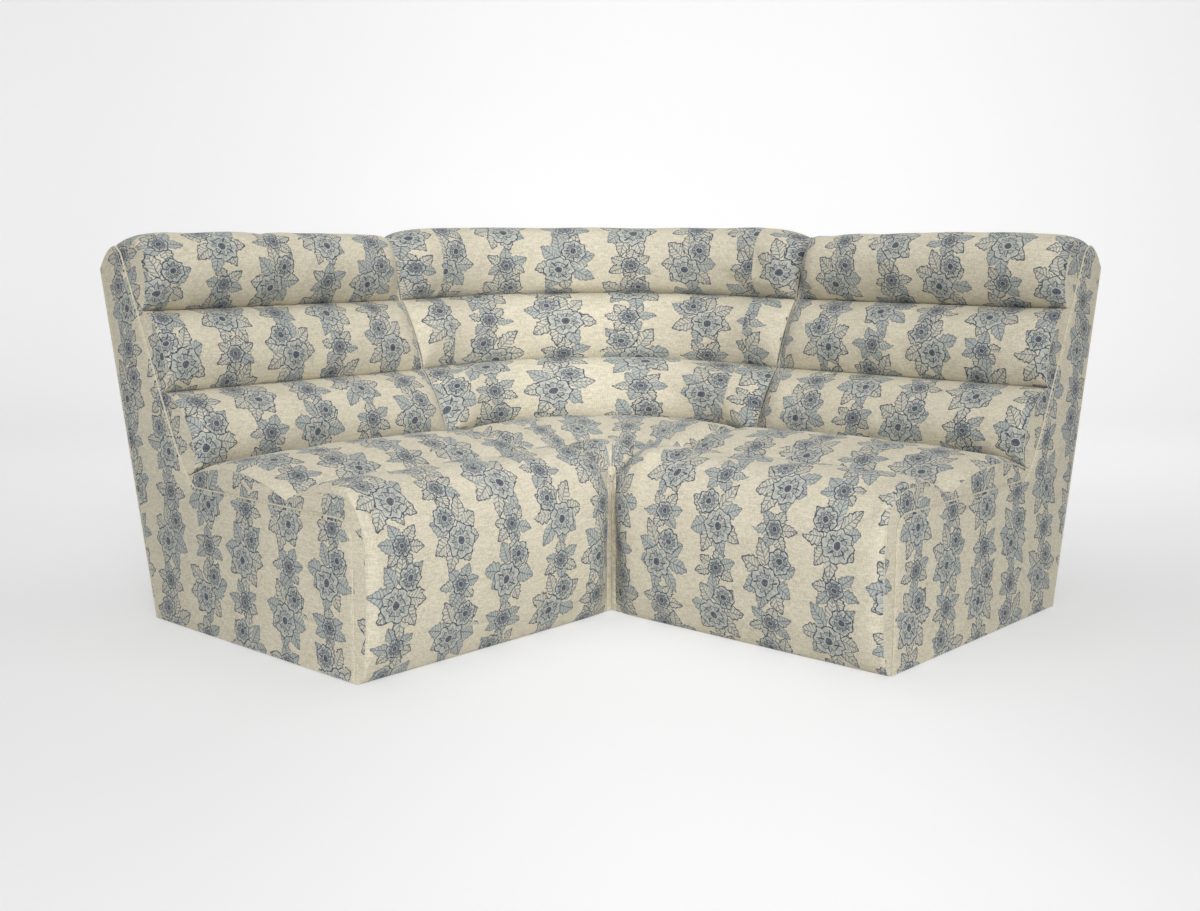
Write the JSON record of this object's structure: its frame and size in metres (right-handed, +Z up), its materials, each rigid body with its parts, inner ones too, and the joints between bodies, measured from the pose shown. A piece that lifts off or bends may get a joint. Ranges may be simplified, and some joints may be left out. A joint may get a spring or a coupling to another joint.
{
  "type": "modular corner sofa",
  "caption": "Upholstered sectional sofa: a quarter-round corner module between straight modules that slide off it, with channelled seats and horizontal back rolls on a raked back.",
  "frame": {"origin": "on the floor, under the middle of the whole sofa's box", "axes": "+X to the right as seen from the front, +Y to the back, +Z up; the corner module's middle faces -Y"},
  "size_m": [2.4036, 1.5888, 0.8961],
  "materials": {
    "printed_fabric": "matte",
    "plain_fabric": "matte",
    "piping": "matte",
    "foam": "matte",
    "webbing": "matte",
    "timber": "matte",
    "dust_cloth": "matte",
    "nylon": "satin",
    "zinc_steel": "satin"
  },
  "bodies": {
    "corner_module": {"corner_base_frame": "timber", "corner_seat_frame": "timber", "corner_seat_webbing": "webbing", "corner_seat_core": "foam", "corner_seat_front": "printed_fabric", "corner_seat_rear": "printed_fabric", "corner_back_frame": "timber", "corner_back_webbing": "webbing", "corner_back_core": "foam", "corner_back_roll_lower": "printed_fabric", "corner_back_roll_middle": "printed_fabric", "corner_back_roll_upper": "printed_fabric", "corner_side_panel_left": "printed_fabric", "corner_side_panel_right": "printed_fabric", "corner_back_panel": "printed_fabric", "corner_piping": "piping", "corner_dust_cover": "dust_cloth", "corner_glides": "nylon", "corner_connector_jaws": "zinc_steel", "corner_fasteners": "zinc_steel"},
    "left_module": {"left_base_frame": "timber", "left_seat_frame": "timber", "left_seat_webbing": "webbing", "left_seat_core": "foam", "left_seat_front": "printed_fabric", "left_seat_rear": "printed_fabric", "left_back_frame": "timber", "left_back_webbing": "webbing", "left_back_core": "foam", "left_back_roll_lower": "printed_fabric", "left_back_roll_middle": "printed_fabric", "left_back_roll_upper": "printed_fabric", "left_side_panel_inner": "printed_fabric", "left_side_panel_outer": "printed_fabric", "left_back_panel": "printed_fabric", "left_piping": "piping", "left_dust_cover": "dust_cloth", "left_glides": "nylon", "left_connector_tongues": "zinc_steel", "left_fasteners": "zinc_steel"},
    "right_module": {"right_base_frame": "timber", "right_seat_frame": "timber", "right_seat_webbing": "webbing", "right_seat_core": "foam", "right_seat_front": "printed_fabric", "right_seat_rear": "printed_fabric", "right_back_frame": "timber", "right_back_webbing": "webbing", "right_back_core": "foam", "right_back_roll_lower": "printed_fabric", "right_back_roll_middle": "printed_fabric", "right_back_roll_upper": "printed_fabric", "right_side_panel_inner": "printed_fabric", "right_side_panel_outer": "printed_fabric", "right_back_panel": "printed_fabric", "right_piping": "piping", "right_dust_cover": "dust_cloth", "right_glides": "nylon", "right_connector_tongues": "zinc_steel", "right_fasteners": "zinc_steel"}
  },
  "joints": [
    {"name": "left_module_pull", "type": "slide", "parent": "corner_module", "child": "left_module", "axis": [-0.7071, -0.7071, 0], "range_m": [0, 0.3]},
    {"name": "right_module_pull", "type": "slide", "parent": "corner_module", "child": "right_module", "axis": [0.7071, -0.7071, 0], "range_m": [0, 0.3]}
  ]
}
